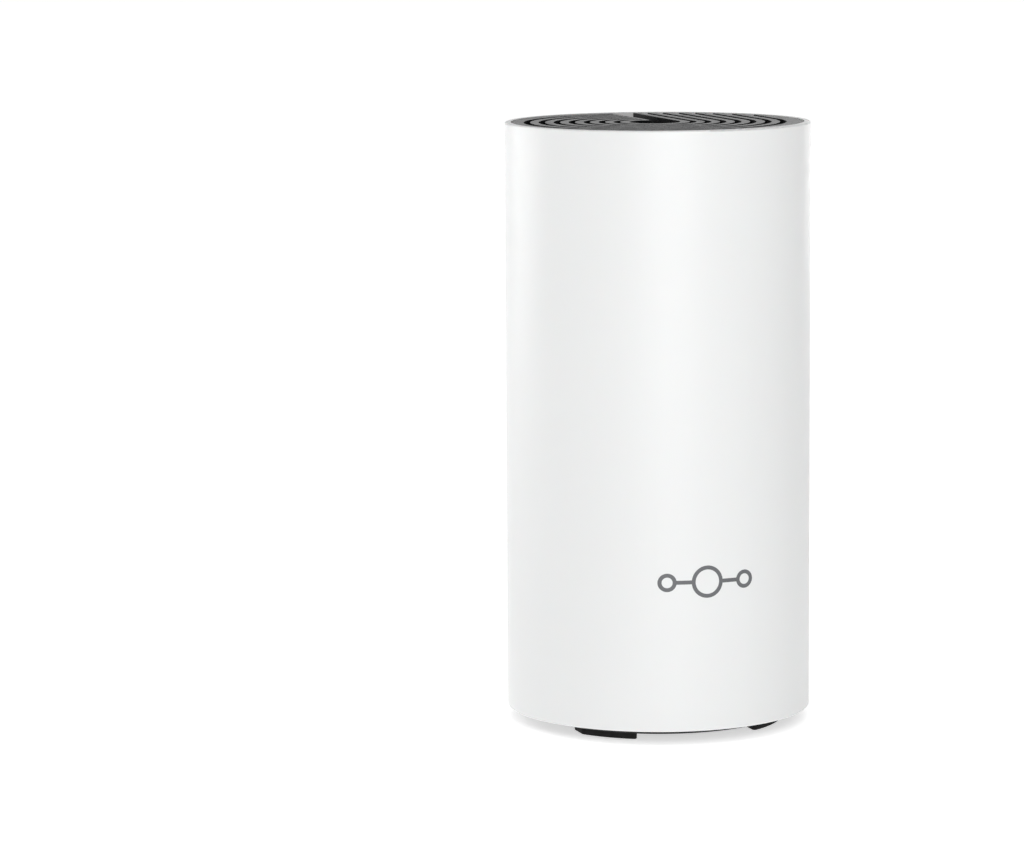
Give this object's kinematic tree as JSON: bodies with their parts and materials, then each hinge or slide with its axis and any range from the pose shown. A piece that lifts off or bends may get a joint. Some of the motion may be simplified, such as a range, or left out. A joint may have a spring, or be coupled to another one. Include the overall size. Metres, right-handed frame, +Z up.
{
  "type": "mesh wifi node",
  "caption": "Tall desktop mesh wifi node: white cylindrical sleeve, ribbed black vent cap, rear socket bay with network and power sockets, pairing and reset buttons, rubber feet.",
  "frame": {"origin": "on the cylinder's axis, in the plane the feet stand on", "axes": "+Z up along the cylinder, -Y towards the front, +Y towards the socket bay, +X to the right seen from the front"},
  "size_m": [0.0936, 0.0935, 0.1845],
  "materials": {
    "white_shell": "satin white",
    "vent_black": "fine matt black",
    "base_black": "fine matt black",
    "foot_rubber": "matt",
    "mark_ink": "printed",
    "label_paper": "blank satin label",
    "screw_steel": "zinc plated",
    "shield_steel": "tin plated",
    "socket_plastic": "satin black",
    "contact_gold": "gold plated",
    "clear_plastic": "frosted clear",
    "button_plastic": "satin grey",
    "switch_plastic": "satin",
    "frame_plastic": "matt black",
    "board_laminate": "solder mask",
    "sink_aluminium": "black anodised",
    "chip_resin": "moulded resin",
    "pad_silicone": "soft",
    "lead_jacket": "smooth",
    "capacitor_can": "satin",
    "coil_ferrite": "ferrite"
  },
  "bodies": {
    "housing": {"antenna_front_left": "board_laminate", "antenna_front_right": "board_laminate", "antenna_lead_front_left": "lead_jacket", "antenna_lead_front_right": "lead_jacket", "antenna_lead_rear_left": "lead_jacket", "antenna_lead_rear_right": "lead_jacket", "antenna_rear_left": "board_laminate", "antenna_rear_right": "board_laminate", "antenna_sockets": "contact_gold", "base_cover": "base_black", "base_screws": "screw_steel", "board_socket": "socket_plastic", "can_capacitors": "capacitor_can", "dc_jack_housing": "socket_plastic", "dc_jack_pin": "contact_gold", "dc_jack_spring": "contact_gold", "flash_chip": "chip_resin", "foot_front_left": "foot_rubber", "foot_front_right": "foot_rubber", "foot_rear_left": "foot_rubber", "foot_rear_right": "foot_rubber", "front_heat_sink": "sink_aluminium", "front_mark": "mark_ink", "heat_sink_screws": "screw_steel", "inner_frame": "frame_plastic", "io_board": "board_laminate", "lan_jack_contacts_left": "contact_gold", "lan_jack_contacts_right": "contact_gold", "lan_jack_housing_left": "socket_plastic", "lan_jack_housing_right": "socket_plastic", "lan_jack_shield_left": "shield_steel", "lan_jack_shield_right": "shield_steel", "lan_transformers": "chip_resin", "light_guide": "clear_plastic", "main_board": "board_laminate", "main_processor": "chip_resin", "memory_chip": "chip_resin", "outer_sleeve": "white_shell", "pair_switch": "switch_plastic", "port_bezel": "base_black", "port_lights": "clear_plastic", "power_coil": "coil_ferrite", "processor_pads": "pad_silicone", "processor_shield": "shield_steel", "radio_chip_2g": "chip_resin", "radio_chip_5g": "chip_resin", "radio_pads_2g": "pad_silicone", "radio_pads_5g": "pad_silicone", "radio_shield_2g": "shield_steel", "radio_shield_5g": "shield_steel", "rating_label": "label_paper", "rear_heat_sink": "sink_aluminium", "reset_switch": "switch_plastic", "status_led": "clear_plastic", "top_grille": "vent_black"},
    "pair_button": {"pair_button": "button_plastic"},
    "pair_plunger": {"pair_switch_plunger": "switch_plastic"},
    "reset_button": {"reset_button": "button_plastic"},
    "reset_plunger": {"reset_switch_plunger": "switch_plastic"}
  },
  "joints": [
    {"name": "pair_press", "type": "slide", "parent": "housing", "child": "pair_button", "axis": [0, -1, 0], "range_m": [0, 0.0006], "stiffness_N_per_m": 400, "springref_m": -0.0005},
    {"name": "pair_plunger_travel", "type": "slide", "parent": "housing", "child": "pair_plunger", "axis": [0, -1, 0], "range_m": [0, 0.0006], "stiffness_N_per_m": 400, "springref_m": -0.0005},
    {"name": "reset_press", "type": "slide", "parent": "housing", "child": "reset_button", "axis": [0, 0, 1], "range_m": [0, 0.0005], "stiffness_N_per_m": 400, "springref_m": -0.0005},
    {"name": "reset_plunger_travel", "type": "slide", "parent": "housing", "child": "reset_plunger", "axis": [0, 0, 1], "range_m": [0, 0.0005], "stiffness_N_per_m": 400, "springref_m": -0.0005}
  ],
  "couplings": [
    {"joint": "pair_plunger_travel", "follows": "pair_press", "ratio": 1},
    {"joint": "reset_plunger_travel", "follows": "reset_press", "ratio": 1}
  ]
}
